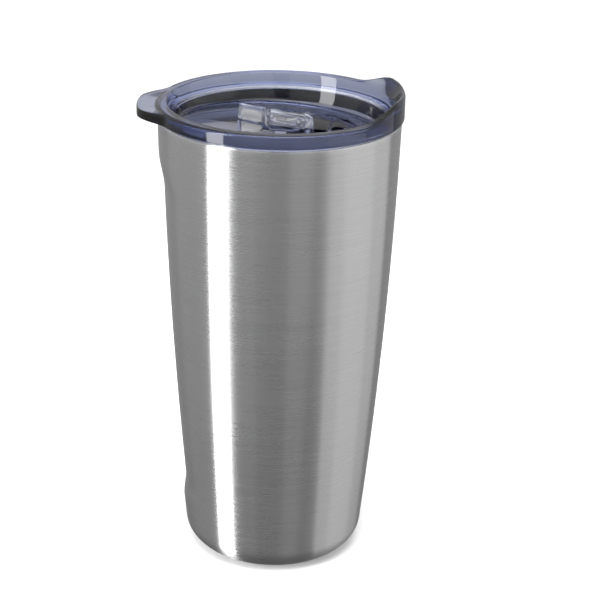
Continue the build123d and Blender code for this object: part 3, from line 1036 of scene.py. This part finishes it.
world = bpy.data.worlds.new("studio")
bpy.context.scene.world = world
world.use_nodes = True
room = world.node_tree
path = room.nodes.new("ShaderNodeLightPath")
heading = room.nodes.new("ShaderNodeSeparateXYZ")
room.links.new(room.nodes.new("ShaderNodeTexCoord").outputs["Generated"], heading.inputs[0])


def by_height(low, high, dark, light):
    """Brightness of the room by how far a ray points up: dark below low, light above high."""
    ramp = room.nodes.new("ShaderNodeMapRange")
    for label, value in zip(("From Min", "From Max", "To Min", "To Max"), (low, high, dark, light)):
        ramp.inputs[label].default_value = value
    room.links.new(heading.outputs["Z"], ramp.inputs["Value"])
    return ramp.outputs[0]


def instead(plain, share, other):
    """plain where share is 0, other where it is 1."""
    change = math_node(room, "MULTIPLY", math_node(room, "SUBTRACT", other, plain), share)
    return math_node(room, "ADD", plain, change)


mirrored_room = by_height(-0.65, 0.25, 0.11, 0.66)
room_through_lid = by_height(0.0, 0.3, 0.76, 1.3)
white_room = 1.0
brightness = instead(white_room, path.outputs["Is Glossy Ray"], mirrored_room)
brightness = instead(brightness, path.outputs["Is Transmission Ray"], room_through_lid)
room.links.new(brightness, room.nodes["Background"].inputs["Strength"])
room.nodes["Background"].inputs["Color"].default_value = (1, 1, 1, 1)
bpy.context.scene.view_settings.view_transform = "Standard"
bounces = bpy.context.scene.cycles
bounces.max_bounces = 24
bounces.glossy_bounces = 12
bounces.transmission_bounces = 24
print("room set,", bounces.max_bounces, "bounces")

# %% [markdown]
# ## The lights
# Brushed steel shows little but its lights, so each light has a place and a width that
# give one band on the side: a narrow box on the left the hard-edged white band, dim ones
# beside it its falloff and the left edge, a weak one in front the middle, and a broad one
# on the right, with a core, the wide soft band. A square box overhead lights the rim and
# the tab, and a small lamp that nothing mirrors shines into the cup through the lid.

# %% Lights


def softbox(name, bearing, distance, height, size, radiance, lean=0.0):
    """An area light at a bearing in degrees from -Y towards +X, facing the cup's axis,
    leaning sideways by some degrees. Power is radiance times pi times area."""
    light = bpy.data.lights.new(name, "AREA")
    light.shape = "RECTANGLE"
    light.size, light.size_y = size
    light.energy = radiance * math.pi * size[0] * size[1]
    lamp = bpy.data.objects.new(name, light)
    bpy.context.scene.collection.objects.link(lamp)
    turn = math.radians(bearing)
    place = Vector((distance * math.sin(turn), -distance * math.cos(turn), height))
    aim = Vector((0, 0, height)) - place
    facing = aim.to_track_quat("-Z", "Y").to_matrix().to_4x4()
    lamp.matrix_world = (
        Matrix.Translation(place) @ facing @ Matrix.Rotation(math.radians(lean), 4, "Z")
    )
    return lamp


softbox("left strip", -61, 1.0, -0.30, (0.30, 2.4), 8.0, -9)
softbox("strip's falloff", -36, 1.2, -0.30, (0.60, 2.4), 0.06)
softbox("left fill", -100, 1.2, -0.30, (1.2, 2.4), 0.10)
softbox("front glow", 22, 1.3, -0.30, (0.50, 2.4), 0.06)
softbox("right panel", 86, 1.1, -0.30, (1.66, 2.4), 0.38, 30)
softbox("right core", 85, 1.0, -0.30, (0.60, 2.4), 0.12, 30)
overhead = softbox("overhead", 0, 0.3, 1.3, (1.2, 1.2), 2.0)
overhead.matrix_world = Matrix.Translation(overhead.location)
cup_fill = softbox("light into the cup", 0, 0.35, cup_top + 0.6, (0.3, 0.3), 9.0)
to_mouth = Vector((0, 0, cup_top)) - cup_fill.location
facing_mouth = to_mouth.to_track_quat("-Z", "Y").to_matrix().to_4x4()
cup_fill.matrix_world = Matrix.Translation(cup_fill.location) @ facing_mouth
cup_fill.visible_glossy = False
cup_fill.visible_transmission = False

# %% [markdown]
# ## The camera's hood
# The flange's front and the far wall of the well mirror the place where the camera stands.
# A real camera is dark, so a black cloth hangs there for mirrored rays only. It keeps
# those two clear walls from being milky.

# %% Hood
hood_left, hood_right = -0.12, 0.11
hood_low, hood_high = 0.33, 0.60
hood_distance = 0.72
hood_mesh = bpy.data.meshes.new("camera hood")
hood_mesh.from_pydata(
    [
        (hood_left, -hood_distance, hood_low),
        (hood_right, -hood_distance, hood_low),
        (hood_right, -hood_distance, hood_high),
        (hood_left, -hood_distance, hood_high),
    ],
    [],
    [(0, 1, 2, 3)],
)
hood = bpy.data.objects.new("camera hood", hood_mesh)
bpy.context.scene.collection.objects.link(hood)
cloth = base_material("black cloth", Base_Color=(0.01, 0.01, 0.01, 1), Roughness=0.9)[0]
hood.data.materials.append(cloth)
hood.visible_camera = False
hood.visible_diffuse = False
hood.visible_transmission = False
hood.visible_shadow = False
print("hood", round(hood_right - hood_left, 2), "m wide")

# %% [markdown]
# ## The camera
# It stands in front of the cup, a little above it, with a long lens, and is turned by a
# hair about all three axes.

# %% Camera
camera_data = bpy.data.cameras.new("camera")
camera_data.lens = 105.75
camera_data.sensor_width = 36.0
camera = bpy.data.objects.new("camera", camera_data)
bpy.context.scene.collection.objects.link(camera)
pan, pitch, roll = 0.0142, 0.3833, 0.0226
forward = Vector(
    (math.sin(pan) * math.cos(pitch), math.cos(pan) * math.cos(pitch), -math.sin(pitch))
)
level = Vector((math.cos(pan), -math.sin(pan), 0))
upright = level.cross(forward)
right = math.cos(roll) * level + math.sin(roll) * upright
up = math.cos(roll) * upright - math.sin(roll) * level
turned_axes = Matrix((right, up, -forward)).transposed().to_4x4()
camera.matrix_world = Matrix.Translation((0, -0.6124, 0.3454)) @ turned_axes
bpy.context.scene.camera = camera
print("camera", camera_data.lens, "mm lens")
